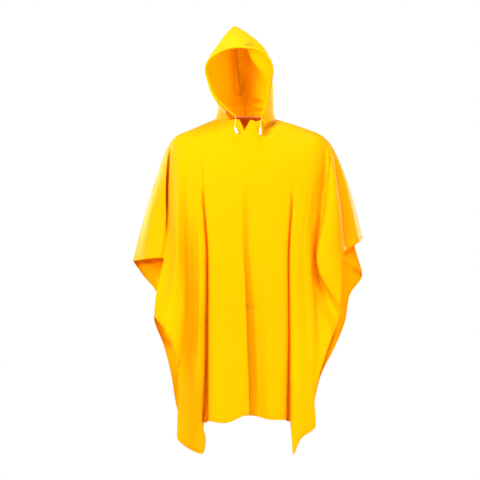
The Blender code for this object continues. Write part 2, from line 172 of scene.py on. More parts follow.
def clothFinish(name, glowShare):
    finish = newFinish(name)
    grain = finish.noise(rainCloth["grain"])
    crinkle = finish.noise(rainCloth["crinkle"], 3, rainCloth["crinkleStretch"])
    patches = finish.noise(rainCloth["patches"])
    surface = finish.bump(crinkle * 0.9 + grain * 0.03, rainCloth["relief"])
    # Painted shade: the 'shade' attribute mixes the colour towards the shaded orange-brown and cuts the glow
    # through the cloth
    paintedShade = finish.node("ShaderNodeAttribute", {"attribute_name": "shade"}, output="Fac")
    worn = finish.mixColour(patches, rainCloth["yellow"], rainCloth["yellowWorn"])
    coat = finish.principled(
        {
            "Base Color": finish.mixColour(paintedShade, worn, rainCloth["shaded"]),
            "Roughness": rainCloth["roughness"] + 0.10 * (grain - 0.5) + 0.08 * (crinkle - 0.5),
            "Specular IOR Level": rainCloth["shine"],
            "Specular Tint": rainCloth["shineTint"],
            "Sheen Weight": rainCloth["sheen"],
            "Sheen Roughness": 0.5,
            "Sheen Tint": rainCloth["sheenTint"],
            "Normal": surface,
        }
    )
    through = finish.node("ShaderNodeBsdfTranslucent", {}, {"Color": rainCloth["glow"], "Normal": surface})
    share = glowShare * (1 - paintedShade)
    return finish.done(finish.node("ShaderNodeMixShader", {}, {0: share, 1: coat, 2: through}))


# Sewing thread, a little darker than the cloth, and its stitches
sewing = {
    "dark": (0.84, 0.40, 0.0, 1),
    "light": (0.95, 0.50, 0.02, 1),
    "noises": [(5200, 2)],  # of colour and surface: waves in each metre, detail and stretch
    "roughness": (0.6, 0.2),  # middle and how much it varies
    "relief": 0.0001,
    "length": 2.4,
    "gap": 1.1,
    "width": 0.55,
    "swell": 1.3,  # how much thicker a stitch is in its middle
    "stand": 0.35,  # how far its middle stands up, as a share of its width
}
# Twisted cord, warm white
whiteCord = {
    "dark": (0.62, 0.46, 0.14, 1),
    "light": (0.74, 0.58, 0.22, 1),
    "noises": [(2600, 3, (1, 1, 0.35))],
    "roughness": (0.75, 0.2),
    "relief": 0.0003,
}
# Moulded cord ends, smooth with a faint mould texture and handling marks
mouldedEnd = {
    "dark": (0.74, 0.67, 0.40, 1),
    "light": (0.82, 0.76, 0.50, 1),
    "noises": [(140, 2), (900, 3)],
    "roughness": (0.38, 0.16),
    "relief": 0.00012,
}


def trimmingFinish(name, look, shine, more, coat=None):
    finish = newFinish(name)
    noises = [finish.noise(*values) for values in look["noises"]]
    tone, fine = noises[0], noises[-1]
    middle, spread = look["roughness"]
    values = {
        "Base Color": finish.mixColour(tone, look["dark"], look["light"]),
        "Roughness": middle + spread * (fine - 0.5),
        "Specular IOR Level": shine,
        "Normal": finish.bump(fine, look["relief"]),
        **more,
    }
    if coat:
        values["Coat Weight"] = coat[0] + coat[1] * tone
    return finish.done(finish.principled(values))


cloth = clothFinish("coated rain cloth", rainCloth["glowShare"])
# The hood gets a copy of the same cloth that glows less, as painted shade for its dark inside
hoodShadedCloth = clothFinish("coated hood cloth with painted shade", rainCloth["hoodShadeGlowShare"])
thread = trimmingFinish("yellow sewing thread", sewing, 0.3, {})
cordWhite = trimmingFinish("white twisted cord", whiteCord, 0.25, {"Sheen Weight": 0.2})
endWhite = trimmingFinish("white moulded plastic", mouldedEnd, 0.45, {"Coat Roughness": 0.25}, (0.15, 0.1))
print("poncho: finishes made")


def spline(points, counts):  # a smooth line through the points, with counts[i] steps after point i
    points = np.asarray(points, float)
    padded = np.vstack([2 * points[0] - points[1], points, 2 * points[-1] - points[-2]])
    line = []
    for i, count in enumerate(counts):
        p = padded[i : i + 4]
        gaps = np.sqrt(np.maximum(norm(np.diff(p, axis=0), axis=1), 1e-6))
        k = np.concatenate([[0.0], np.cumsum(gaps)])
        for step in range(count):
            t = k[1] + (k[2] - k[1]) * step / count
            a = [((k[j + 1] - t) * p[j] + (t - k[j]) * p[j + 1]) / (k[j + 1] - k[j]) for j in range(3)]
            b = [((k[j + 2] - t) * a[j] + (t - k[j]) * a[j + 1]) / (k[j + 2] - k[j]) for j in range(2)]
            line.append(((k[2] - t) * b[0] + (t - k[1]) * b[1]) / (k[2] - k[1]))
    line.append(points[-1])
    return np.array(line)


def steady(points, counts):  # the same without overshoot, so that a narrow pleat's two sides stay apart
    points = np.asarray(points, float)
    gaps = norm(np.diff(points, axis=0), axis=1)[:, None]
    slopes = np.diff(points, axis=0) / gaps
    before, after = slopes[:-1], slopes[1:]
    middle = (before * gaps[1:] + after * gaps[:-1]) / (gaps[:-1] + gaps[1:])
    least = np.minimum(np.minimum(abs(before), abs(after)), abs(middle) / 2)
    tangents = np.vstack([slopes[:1], (np.sign(before) + np.sign(after)) * least, slopes[-1:]])
    line = []
    for i, count in enumerate(counts):
        for step in range(count):
            t = step / count
            line.append(
                (2 * t**3 - 3 * t**2 + 1) * points[i]
                + (3 * t**2 - 2 * t**3) * points[i + 1]
                + (t**3 - 2 * t**2 + t) * gaps[i] * tangents[i]
                + (t**3 - t**2) * gaps[i] * tangents[i + 1]
            )
    line.append(points[-1])
    return np.array(line)


def unit(vector):
    return vector / norm(vector)


def lengthsAlong(line):
    return np.concatenate([[0.0], np.cumsum(norm(np.diff(line, axis=0), axis=1))])


def atLengths(line, lengths):  # the points that lie these lengths along a line
    along = lengthsAlong(line)
    return np.array([np.interp(lengths, along, line[:, axis]) for axis in range(3)]).T


def outwardNormals(grid, middle):  # of a grid of points, away from a point inside
    across = np.gradient(grid, axis=0)
    down = np.gradient(grid, axis=1)
    normals = np.cross(across, down)
    normals /= np.maximum(norm(normals, axis=2, keepdims=True), 1e-9)
    if (normals * (grid - middle)).sum() < 0:
        normals = -normals
    return normals


def makePiece(name, points, faces, material, sharp=50):
    mesh = bpy.data.meshes.new(name)
    mesh.from_pydata((np.asarray(points) * metres).tolist(), [], faces)
    mesh.materials.append(material)
    mesh.shade_smooth()
    mesh.set_sharp_from_angle(angle=math.radians(sharp))
    piece = place(name, mesh)
    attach(piece, "root")
    return piece


def gridFaces(columns, rows, start=0, flip=False):
    faces = []
    for i in range(columns - 1):
        for j in range(rows - 1):
            a = start + i * rows + j
            face = (a, a + rows, a + rows + 1, a + 1)
            faces.append(face[::-1] if flip else face)
    return faces


def giveShade(piece, values):  # painted shade: how dark each point of a piece is painted, as if it lost that share of its light
    shade = piece.data.attributes.new("shade", "FLOAT", "POINT")
    shade.data.foreach_set("value", np.clip(values, 0, 1))


# A thin wall round a grid of points: over and under are how far its two faces lie from the grid,
# and shades has the painted shade of the outer face and of the inner one
def clothShell(name, grid, normals, over, under, shades, finish):
    columns, rows = grid.shape[:2]
    outside = (grid + normals * over[..., None]).reshape(-1, 3)
    inside = (grid - normals * under[..., None]).reshape(-1, 3)
    back = columns * rows
    first = np.cross(grid[1, 0] - grid[0, 0], grid[0, 1] - grid[0, 0])
    flip = bool(first @ normals[0, 0] < 0)
    faces = gridFaces(columns, rows, 0, flip) + gridFaces(columns, rows, back, not flip)
    rim = [i * rows for i in range(columns)]
    rim += [(columns - 1) * rows + j for j in range(1, rows)]
    rim += [i * rows + rows - 1 for i in range(columns - 2, -1, -1)]
    rim += [j for j in range(rows - 2, 0, -1)]
    for a, b in zip(rim, rim[1:] + rim[:1]):
        edge = (b, a, back + a, back + b)
        faces.append(edge[::-1] if flip else edge)
    piece = makePiece(name, np.vstack([outside, inside]), faces, finish)
    giveShade(piece, np.concatenate([face.reshape(-1) for face in shades]))
    return piece


# Closed rings of points, joined, with two end faces
def ringPiece(name, rings, material, sharp=50):
    rings = np.asarray(rings)
    count, around = rings.shape[:2]
    faces = []
    for i in range(count - 1):
        for j in range(around):
            k = (j + 1) % around
            faces.append((i * around + j, i * around + k, (i + 1) * around + k, (i + 1) * around + j))
    faces.append(tuple(range(around))[::-1])
    faces.append(tuple((count - 1) * around + j for j in range(around)))
    return makePiece(name, rings.reshape(-1, 3), faces, material, sharp)


def swell(t):  # 1 in the middle, 0 from t = 1 on, smooth
    return np.clip(1 - t * t, 0, 1) ** 2


def ease(t):  # 0 to 1, smooth at both ends
    return t * t * (3 - 2 * t)


# A crease pushes the cloth in (a trough, depth above 0) or out (a ridge, depth below 0) along a line
# on a flat view of the piece. left and right are its widths to the left and right of a line that runs down,
# shade is how much shade is painted into the cloth's colour along it, and fade the share of its length where it
# dies away at either end.
Crease = namedtuple("Crease", "depth left right shade path fade")
Crease.__new__.__defaults__ = (0.3,)


def creased(flat, creases):
    depth = np.zeros(flat.shape[:2])
    shade = np.zeros(flat.shape[:2])
    for crease in [Crease(*row) for row in creases]:
        line = spline(crease.path, [5] * (len(crease.path) - 1))
        along = lengthsAlong(line)
        reach = max(crease.left, crease.right)
        low, high = line.min(0) - reach, line.max(0) + reach
        near = np.all((flat > low) & (flat < high), axis=2)
        spots = flat[near]
        best = np.full(len(spots), 1e9)
        side = np.zeros(len(spots))
        share = np.zeros(len(spots))
        for a, b, start in zip(line, line[1:], along):
            step = b - a
            t = np.clip((spots - a) @ step / (step @ step), 0, 1)
            away = spots - a - t[:, None] * step
            distance = norm(away, axis=1)
            closer = distance < best
            best[closer] = distance[closer]
            side[closer] = np.sign(step[0] * away[:, 1] - step[1] * away[:, 0])[closer]
            share[closer] = ((start + t * norm(step)) / along[-1])[closer]
        width = np.where(side > 0, crease.right, crease.left)
        fade = ease(np.clip(np.minimum(share, 1 - share) / crease.fade, 0, 1))
        amount = swell(best / width) * fade
        depth[near] += crease.depth * amount
        shade[near] += crease.shade * amount
    return depth, shade


def stitchRow(name, line, normals, lift):  # a row of short stitches that stand a little out of the cloth
    along = lengthsAlong(line)
    starts = np.arange(1.0, along[-1] - sewing["length"], sewing["length"] + sewing["gap"])
    points, faces = [], []
    for start in starts:
        ends = atLengths(line, [start, start + sewing["length"]])
        normal = directionAt(normals, along, start)
        heading = unit(ends[1] - ends[0])
        side = np.cross(normal, heading)
        middle = ends.mean(0) + normal * (lift + sewing["width"] * sewing["stand"])
        base = len(points)
        half = sewing["width"] / 2
        points += [ends[0] + normal * lift, ends[1] + normal * lift]
        for turn in range(4):
            angle = math.pi / 4 + math.pi / 2 * turn
            points.append(middle + (side * math.cos(angle) + normal * math.sin(angle)) * half * sewing["swell"])
        for turn in range(4):
            a, b = base + 2 + turn, base + 2 + (turn + 1) % 4
            faces += [(base, b, a), (base + 1, a, b)]
    return makePiece(name, points, faces, thread, sharp=180)


def directionAt(values, along, length):  # a direction between those of a line's points
    return unit(np.array([np.interp(length, along, values[:, axis]) for axis in range(3)]))


# Hood tables: each rib joins a point of the face opening to a point of the middle seam
Rib = namedtuple("Rib", "edgeX edgeY edgeZ foldX foldY sideX corner seamX seamY seamZ")
hoodRightRibs = [
    (-84, -97, 42, -84, -62, -104, 0.68, -12, 76, 42),
    (-112, -100, 72, -107, -60, -108, 0.66, -24, 98, 86),
    (-127, -101, 100, -120, -56, -112, 0.64, -31, 115, 134),
    (-139, -103, 136, -132, -52, -115, 0.64, -36, 122, 186),
    (-147, -105, 168, -139, -50, -118, 0.62, -41, 112, 240),
    (-144, -107, 190, -138, -52, -112, 0.54, -46, 92, 296),
    (-135, -108, 206, -129, -52, -99, 0.43, -47, 76, 324),
    (-119, -109, 221, -115, -56, -90, 0.45, -46, 54, 320),
    (-97, -111, 234, -97, -68, -75, 0.48, -44, 4, 300),
    (-70, -113, 245, -70, -86, -60, 0.50, -41, -54, 275),
    (-56, -114, 247, -55, -103, -49, 0.50, -39, -104, 251),
]
hoodLeftRibs = [
    (65, -97, 40, 60, -62, 88, 0.68, -12, 76, 42),
    (68, -100, 70, 60, -60, 88, 0.66, -24, 98, 86),
    (73, -101, 102, 58, -58, 87, 0.64, -31, 115, 134),
    (80, -103, 140, 50, -58, 84, 0.64, -36, 122, 186),
    (85, -105, 168, 31, -58, 78, 0.62, -41, 112, 240),
    (82, -107, 190, 13, -56, 56, 0.56, -46, 92, 296),
    (74, -108, 206, 5, -56, 31, 0.45, -47, 76, 324),
    (65, -109, 220, 1, -60, 16, 0.46, -46, 54, 320),
    (47, -111, 236, -5, -72, 2, 0.48, -44, 4, 300),
    (14, -113, 247, -10, -88, -16, 0.50, -41, -54, 275),
    (-22, -114, 249, -24, -103, -30, 0.50, -39, -104, 251),
]
hood = {
    "bends": [(0, 0.16), (0.45, 0.5), (0.88, 0.84)],  # a rib's fold, side and corner: share of the way back and up
    "footRight": 24.0,  # degrees from the middle of the front where each half's foot begins
    "footLeft": 33.0,
    "footShares": (0, 0.1, 0.4, 0.7, 1),  # where a foot's rib points stand on its way round the neck
    "footGap": 0.6,  # from the neck's edge
    "across": (8, 16, 16, 16),  # steps from the casing to the fold, the side, the corner and the seam
    "up": 7,  # steps between two ribs
    "tuck": 0.6,  # how far the cloth goes in under the casing
    "seam": 0.15,
    "cloth": 0.45,  # half the cloth's thickness
    "footHem": 9.0,
    "footCloth": 0.5,  # how much thicker its foot is on either face
    "backFrom": 10.0,  # the back's creases begin this far back and are whole after backReach
    "backReach": 40.0,
    "seamDip": 1.6,
    "seamReach": 7.0,
}
# Behind the casing's lower parts the hood dips in, with painted shade there that shifts sideways up the foot
hoodLap = {
    "height": 100.0,
    "dip": (8.0, 6.0, 14.0),  # how deep, where and how wide
    "shade": (0.85, 0.2),  # of the right half and the left one
    "shadeAt": (4.0, 13.0),  # where and how wide
    "shift": (12.0, 45.0),  # how far, over what height
}
brim = {
    "width": 15.0,
    "thick": 7.0,
    "square": 0.86,  # 1 makes its section an ellipse, and less makes it squarer
    "middle": (-35.0, 20.0, 130.0),
    "rightEnd": (-45, -94, 8),
    "brow": (-39, -114, 250),
    "leftEnd": (48, -94, 6),
    "steps": 10,
    "around": 28,
    "turn": [(0, 40), (0.12, 45), (0.3, 12), (0.5, 0), (0.7, -14), (0.86, -58), (1, -50)],  # share: degrees
    "puckers": [(1, 2.9, 0), (0.7, 4.7, 1), (0.5, 9.1, 0)],  # size, length and start of each wave
    "swells": (0.06, 0.02),  # how much the puckers change its thickness and its width
    "gather": 0.06,
    "gatherAtEnds": 0.5,  # the cord gathers the casing near its ends
    "gatherReach": 40.0,
    "mouth": [(0.34, 6.0), (0.36, 0.4), (0.8, 0.0)],  # the tunnel and lip at its ends: share of size, depth
    # painted shade over the whole casing
    "shade": 0.1,
    "lapShade": 0.85,  # painted shade on its outer side, a dark line against the hood, measured from its right end
    "lapAt": 60.0,
    "lapReach": 40.0,
    "lapFrom": 1.2,
}


def casingLine(steps):
    right = [rib[0:3] for rib in hoodRightRibs[:-1]]
    left = [rib[0:3] for rib in hoodLeftRibs[:-1]]
    points = [brim["rightEnd"]] + right + [brim["brow"]] + left[::-1] + [brim["leftEnd"]]
    return spline(points, [steps] * (len(points) - 1))


# The drawstring's two free ends: each leaves one end of the casing and hangs on the chest
cords = {
    "diameter": 2.4,
    "lobes": 0.10,  # how deep the twist's grooves are, as a share of the radius
    "fill": 0.36,  # how much of that depth is added, so that the twisted cord measures its diameter
    "around": 24,
    "gap": 0.3,  # from the casing to the cord and from the cord to its end
    "twistEvery": 9.0,
    "right": [(-43.5, -105, -8), (-45.5, -110, -18), (-46.5, -112, -28)],
    "left": [(45.5, -104, -8), (44, -110, -19), (43.5, -112, -30)],
    "rightLean": (0.42, -0.12, -0.90),
    "leftLean": (-0.02, -0.12, -1.0),
    "endLength": 24.0,
    "endRadius": 5.0,
    "endAround": 32,
    "endTurn": 0.15,  # the share of its length in which a cord end turns to its own lean
}
# A cord end from its mouth to its foot: share of the length, share of the radius
endProfile = [(0.0, 0.30), (0.0, 0.50), (0.02, 0.62), (0.07, 0.70), (0.13, 0.66), (0.17, 0.74), (0.30, 0.88)]
endProfile += [(0.55, 0.97), (0.78, 1.0), (0.84, 0.97), (0.87, 0.90), (0.90, 0.97), (0.96, 0.94), (0.99, 0.84)]
endProfile += [(1.0, 0.66), (1.0, 0.50), (0.96, 0.40)]


def facingRing(centre, heading, radius, around, turn=0.0, lobes=0.0):  # a round or three-lobed section
    sideways = unit(np.cross(heading, [0, 1, 0]))
    forward = np.cross(heading, sideways)
    ring = []
    for step in range(around):
        angle = 2 * math.pi * step / around
        reach = radius * (1 - lobes + lobes * abs(math.cos(1.5 * (angle - turn))))
        ring.append(centre + reach * (sideways * math.cos(angle) + forward * math.sin(angle)))
    return ring


def makeDrawstring(side, exitPoint, heading):
    start = exitPoint + heading * cords["gap"]
    route = [tuple(start), tuple(start + heading * 2)] + cords[side]
    line = spline(route, [4] + [16] * (len(route) - 2))
    along = lengthsAlong(line)
    tangents = np.gradient(line, axis=0)
    rings = []
    for point, tangent, length in zip(line, tangents, along):
        turn = 2 * math.pi * length / cords["twistEvery"]
        radius = cords["diameter"] / 2 * (1 + cords["lobes"] * cords["fill"])
        rings.append(facingRing(point, unit(tangent), radius, cords["around"], turn, cords["lobes"]))
    cord = ringPiece("drawstring_" + side + "_cord", rings, cordWhite)
    end = makeCordEnd(side, line[-1], unit(tangents[-1]))
    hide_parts("drawstring_" + side)
    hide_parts("cord_end_" + side)
    print("poncho: drawstring", side, "is", round(along[-1], 1), "mm long")


def makeCordEnd(side, top, heading):
    lean = unit(np.array(cords[side + "Lean"], float))
    mouth = top + heading * cords["gap"]
    rings = []
    for share, width in endProfile:
        blend = min(1.0, share / cords["endTurn"])
        facing = unit(heading * (1 - blend) + lean * blend)
        centre = mouth + lean * cords["endLength"] * share
        rings.append(facingRing(centre, facing, cords["endRadius"] * width, cords["endAround"]))
    return ringPiece("cord_end_" + side + "_moulding", rings, endWhite, 40)


def makeDrawstrings():
    line = casingLine(2)
    for side, end, before in (("right", line[0], line[1]), ("left", line[-1], line[-2])):
        makeDrawstring(side, end, unit(end - before))


makeDrawstrings()


# Body of the poncho: each row is one ridge, groove or edge of the draped cloth, from the neck to the rim.
# psi is its angle round the neck, and high and low are two points on its way down.
Fold = namedtuple("Fold", "name psi highX highY lowX lowY rimX rimY rimZ highAt lowAt")
Fold.__new__.__defaults__ = (0.35, 0.70)
frontFolds = [
    ("arm top", -90, -323, 0, -368, 0, -400, 0, -494),
    ("arm front", -87.6, -305, -50, -336, -62, -352, -72, -486),
    ("arm inner lip", -84, -287, -72, -287, -86, -305, -100, -482),
    ("armpit groove", -79.5, -280, -46, -281, -79, -299, -98, -484),
    ("side edge top", -75, -273, -82, -274, -96, -292, -108, -488),
    ("side edge bow", -70, -264, -104, -275, -113, -318, -116, -600, 0.35, 0.73),
    ("side edge tip", -65.5, -254, -126, -267, -131, -326, -122, -676, 0.35, 0.72),
    ("outer ridge", -60, -244, -146, -250, -158, -286, -150, -734),
    ("outer ridge foot", -54.5, -226, -138, -228, -142, -260, -138, -786),
    ("soft valley", -50, -205, -128, -204, -114, -242, -108, -930),
    ("tail outer", -45.5, -178, -138, -188, -134, -247, -130, -1106),
    ("tail corner", -43, -164, -146, -170, -156, -160, -156, -1166),
    ("tail inner", -37.4, -146.5, -136, -147.5, -142, -147, -130, -1116),
    ("deep pleat side", -36.6, -143.5, -116, -145, -108, -162, -94, -1062),
    ("deep pleat outer", -36.1, -142.8, -110, -144, -58, -159, -24, -1058),
    ("deep pleat inner", -35.7, -140.2, -108, -141, -56, -143.5, -20, -1056),
    ("deep pleat lap", -35.3, -139, -118, -139.5, -110, -139.5, -100, -1052),
    ("centre lip", -34.4, -136.5, -150, -136, -160, -138, -170, -1051),
    ("centre swell", -19.5, -80, -164, -80, -178, -82, -192, -1059),
    ("middle ridge", -4.5, -10, -166, 0, -182, 4, -188, -1028),
    ("middle step", -0.5, 12, -142, 21, -146, 29, -152, -1034),
    ("right swell", 11, 70, -158, 76, -172, 80, -184, -1047),
    ("right lip", 31.2, 137, -148, 138, -158, 131, -168, -1048),
    ("right pleat lap", 32.2, 139, -122, 139.8, -112, 133, -100, -1049),
    ("right pleat inner", 32.7, 140.4, -114, 141.2, -66, 136, -20, -1051),
    ("right pleat outer", 33.2, 142.4, -116, 144.2, -68, 145, -24, -1053),
    ("right pleat side", 33.7, 143.2, -122, 145.4, -110, 147.5, -94, -1056),
    ("right tail inner", 34.6, 146, -142, 148, -150, 148, -150, -1060),
    ("right tail lip", 39.5, 156, -150, 158, -157, 152, -158, -1112),
    ("right tail corner", 43, 166, -150, 172, -158, 158, -160, -1170),
    ("right tail foot", 46.5, 178, -147, 190, -154, 184, -155, -1114),
    ("right tail outer", 50.5, 190, -141, 208, -147, 236, -138, -1066),
    ("right waist", 54.5, 202, -136, 222, -144, 231, -138, -974),
    ("right flank", 59, 212, -128, 232, -136, 249, -131, -890),
    ("behind tongue", 66.5, 236, -106, 226, -118, 290, -120, -762),
    ("tongue valley", 72, 258, -88, 238, -100, 312, -98, -702),
    ("tongue ridge", 77, 277, -122, 247, -150, 321, -124, -664, 0.35, 0.73),
    ("tongue face", 79, 286, -118, 288, -147, 326, -124, -560),
    ("tongue back", 81.5, 307, -98, 323, -120, 333, -116, -460),
    ("arm valley", 84, 318, -58, 340, -72, 349, -80, -446),
    ("left arm front", 87, 331, -52, 358, -66, 376, -70, -432),
    ("left arm top", 90, 336, 0, 374, 0, 400, 0, -418),
]
backFolds = [
    ("arm top", -90, -323, 0, -368, 0, -400, 0, -494),
    ("arm back", -85, -312, 46, -346, 34, -362, 26, -548),
    ("side edge bow", -79, -292, 76, -306, 66, -318, 56, -604),
    ("armpit groove", -73, -276, 62, -289, 60, -306, 56, -648),
    ("side edge tip", -67, -262, 98, -284, 90, -327, 74, -690),
    ("outer ridge", -60, -244, 122, -262, 126, -294, 108, -786),
    ("soft valley", -52, -220, 108, -232, 106, -269, 100, -882),
    ("tail outer", -45, -194, 122, -206, 124, -240, 116, -1030),
    ("tail corner", -40, -172, 132, -180, 144, -182, 148, -1138),
    ("tail inner", -38.6, -160, 118, -164, 124, -158, 118, -1096),
    ("deep pleat side", -36.7, -153.5, 100, -154.5, 100, -153.5, 92, -1064),
    ("deep pleat outer", -35.8, -151.4, 88, -152, 72, -151, 44, -1048),
    ("deep pleat inner", -34.6, -148.6, 86, -149.5, 70, -147.5, 40, -1045),
    ("deep pleat lap", -33.3, -146.6, 102, -146.8, 104, -145, 96, -1042),
    ("centre lip", -31.6, -142, 126, -139, 142, -138, 156, -1040),
    ("centre swell", -15, -68, 138, -70, 158, -74, 180, -1046),
    ("middle valley", 1, 4, 124, 4, 132, 2, 142, -1032),
    ("left swell", 16, 70, 140, 70, 158, 70, 176, -1040),
    ("left lip", 31.6, 142, 126, 138, 142, 132, 158, -1036),
    ("left pleat lap", 33.3, 147, 102, 145.6, 104, 139.6, 96, -1038),
    ("left pleat inner", 34.6, 149, 86, 148, 70, 142.2, 40, -1041),
    ("left pleat outer", 35.8, 152, 88, 151, 72, 145.4, 44, -1044),
    ("left pleat side", 37.2, 154, 100, 154, 100, 148.6, 92, -1056),
    ("left tail inner", 39, 161, 120, 164, 126, 156, 122, -1078),
    ("left tail corner", 41.6, 176, 134, 184, 144, 178, 150, -1108),
    ("left tail outer", 46, 194, 122, 206, 124, 222, 118, -1010),
    ("left flank", 53, 220, 108, 232, 108, 255, 100, -888),
    ("left outer ridge", 60, 242, 124, 264, 126, 302, 104, -794),
    ("left side edge", 66, 262, 104, 292, 98, 338, 72, -702),
    ("left edge bow", 72, 280, 84, 316, 74, 354, 52, -612),
    ("elbow point", 79, 304, 66, 348, 46, 397, 26, -540),
    ("elbow valley", 85, 327, 40, 358, 32, 369, 22, -450),
    ("left arm top", 90, 336, 0, 374, 0, 400, 0, -418),
]
neck = {
    "x": -10.0,
    "y": -8.0,
    "halfWidth": 102.0,
    "front": 85.0,
    "back": 72.0,
    "sideZ": -1.0,
    "backZ": 7.0,
    "lean": 0.28,  # how far the front edge comes forward for each millimetre that it dips
}
# The front edge of the neck hole, across and up, with its notch
neckline = [(-112, -1), (-82, -10), (-48, 0), (-30, -2), (-20, -22), (-14, -42), (-11, -40), (1, -14)]
neckline += [(8, -3), (16, -4), (24, -8), (32, -8), (42, -4), (60, -18), (78, -10), (92, -1)]
shoulders = {
    "rightX": -260.0,
    "leftX": 272.0,
    "z": -70.0,
    "rightRise": 3.0,
    "leftRise": 8.0,
    "backRise": 24.0,
    "chest": (-135.0, -200.0),  # forward or back, and up
    "blades": (112.0, -190.0),
    "bow": 0.7,
}
# Pleats: the first and last row of each, and the heights where it is still closed and is fully open
frontPleats = [("tail inner", "centre lip", -222, -285), ("right lip", "right tail inner", -240, -300)]
backPleats = [("tail inner", "centre lip", -230, -300), ("left lip", "left tail inner", -250, -330)]
# Where a tail's edge swings sideways: first, furthest and last row, how far, at what height, reach
frontSwings = [("tail corner", "tail inner", "deep pleat inner", -15, -1050, 62)]
panels = {
    "columnStep": 7.0,  # spacing of the mesh along the rim
    "levels": 98,  # rows above the hem
    "steps": (10, 10, 18, 18, 18),  # between the points that a column is drawn through
    "cloth": 0.45,  # half the cloth's thickness
    "hem": 12.0,  # width of the turned hem
    "hemCloth": 0.95,
    "hemOuter": 0.7,  # share of the hem's thickness that shows on its outer face
    "hemShade": 0.10,
    "stitchDip": 0.8,  # how deep the hem's seam sinks
    "seam": 0.3,
    "facing": (0.1, 0.4),  # no crease where the cloth turns sideways: how it fades out there
    "neckReach": 7.0,  # the neck's seam stays where it is sewn, and creases begin this far from it
}
hemRows = np.array([12.0, 11.0, 10.0, 8.0, 5.0, 2.0, 0.8, 0.0])  # from the rim, with the stitches in the second
insideBody = np.array([0.0, 0.0, -500.0])


def neckPoint(psi, side):  # side is -1 on the front and 1 on the back
    turn = math.radians(psi)
    depth = neck["front"] if side < 0 else neck["back"]
    x = neck["x"] + neck["halfWidth"] * math.sin(turn)
    y = neck["y"] + side * depth * math.cos(turn)
    if side > 0:
        return np.array([x, y, neck["sideZ"] + (neck["backZ"] - neck["sideZ"]) * math.cos(turn)])
    z = float(np.interp(x, [edge[0] for edge in neckline], [edge[1] for edge in neckline]))
    return np.array([x, y + neck["lean"] * min(0.0, z), z])


def shoulderPoint(psi, side):  # of the ring where the cloth leaves the body and begins to hang
    turn = math.radians(psi)
    depth, low = shoulders["chest"] if side < 0 else shoulders["blades"]
    x = shoulders["leftX"] * math.sin(turn) if psi > 0 else -shoulders["rightX"] * math.sin(turn)
    y = depth * math.cos(turn) ** shoulders["bow"] if abs(psi) < 90 else 0.0
    return np.array([x, y, low + (shoulders["z"] - low) * math.sin(turn) ** 2])


def drapedPanel(folds, pleats, swings, side):  # a grid of points, one column after another down the cloth
    folds = [Fold(*row) for row in folds]
    rows = np.array([fold[1:] for fold in folds], float)
    spans = norm(np.diff(rows[:, 5:8], axis=0), axis=1)
    counts = [max(4, math.ceil(span / panels["columnStep"])) for span in spans]
    columns = []
    for psi, highX, highY, lowX, lowY, rimX, rimY, rimZ, highAt, lowAt in steady(rows, counts):
        top = neckPoint(psi, side)
        shoulder = shoulderPoint(psi, side)
        across = math.sin(math.radians(psi)) ** 2
        rise = (shoulders["leftRise"] if psi > 0 else shoulders["rightRise"]) * across
        if side > 0:
            rise += shoulders["backRise"] * (1 - across)
        collar = (top + shoulder) / 2 + np.array([0, 0, rise])
        drop = rimZ - shoulder[2]
        high = (highX, highY, shoulder[2] + drop * highAt)
        low = (lowX, lowY, shoulder[2] + drop * lowAt)
        line = spline([top, collar, shoulder, high, low, (rimX, rimY, rimZ)], panels["steps"])
        whole = lengthsAlong(line)[-1]
        levels = np.linspace(0, whole - panels["hem"] - 2, panels["levels"])
        columns.append(atLengths(line, np.concatenate([levels, whole - hemRows])))
    grid = np.array(columns) + np.array([0.0, side * panels["seam"] / 2, 0.0])
    starts = dict(zip([fold.name for fold in folds], np.concatenate([[0], np.cumsum(counts)])))
    for first, last, closedAt, openAt in pleats:
        a, b = starts[first], starts[last]
        share = np.linspace(0, 1, b - a + 1)[:, None, None]
        flat = grid[a] * (1 - share) + grid[b] * share
        closed = ease(np.clip((grid[a, :, 2] - openAt) / (closedAt - openAt), 0, 1))[:, None]
        grid[a : b + 1] = grid[a : b + 1] * (1 - closed) + flat * closed
    for first, furthest, last, sideways, height, reach in swings:
        share = np.interp(range(len(grid)), [starts[name] for name in (first, furthest, last)], (0, 1, 0))
        grid[..., 0] += sideways * share[:, None] * swell((grid[..., 2] - height) / reach)
    return grid


def makePanel(name, folds, pleats, swings, side, creases, innerShades):
    grid = drapedPanel(folds, pleats, swings, side)
    normals = outwardNormals(grid, insideBody)
    turned, fade = panels["facing"]
    facing = np.clip((side * normals[..., 1] + turned) / fade, 0, 1)
    push, shade = creased(grid[..., (0, 2)], creases)
    innerShade = creased(grid[..., (0, 2)], innerShades)[1]
    push *= facing
    push *= np.clip(norm(grid - grid[:, :1], axis=2) / panels["neckReach"], 0, 1)
    grid = grid - normals * push[..., None]
    normals = outwardNormals(grid, insideBody)
    hem = 1 - len(hemRows)  # the row where the hem begins and its stitches lie
    stitchLift = panels["cloth"] - panels["stitchDip"]
    over = np.full(grid.shape[:2], panels["cloth"])
    under = over.copy()
    over[:, hem:] = panels["hemCloth"] * panels["hemOuter"]
    under[:, hem:] = panels["hemCloth"]
    over[:, hem] = stitchLift
    over[:, -1] = under[:, -1] = panels["cloth"]
    # Painted shade: the creases' shade where the cloth faces front or back, more on the doubled hem, and on the
    # inner face the painted shade of the inner shades
    shade = shade * facing
    shade[:, hem:] += panels["hemShade"]
    piece = clothShell(name, grid, normals, over, under, (shade, shade + innerShade), cloth)
    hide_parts(name.replace("_cloth", ""))
    return piece, stitchRow(name + "_hem_stitches", grid[:, hem], normals[:, hem], stitchLift)
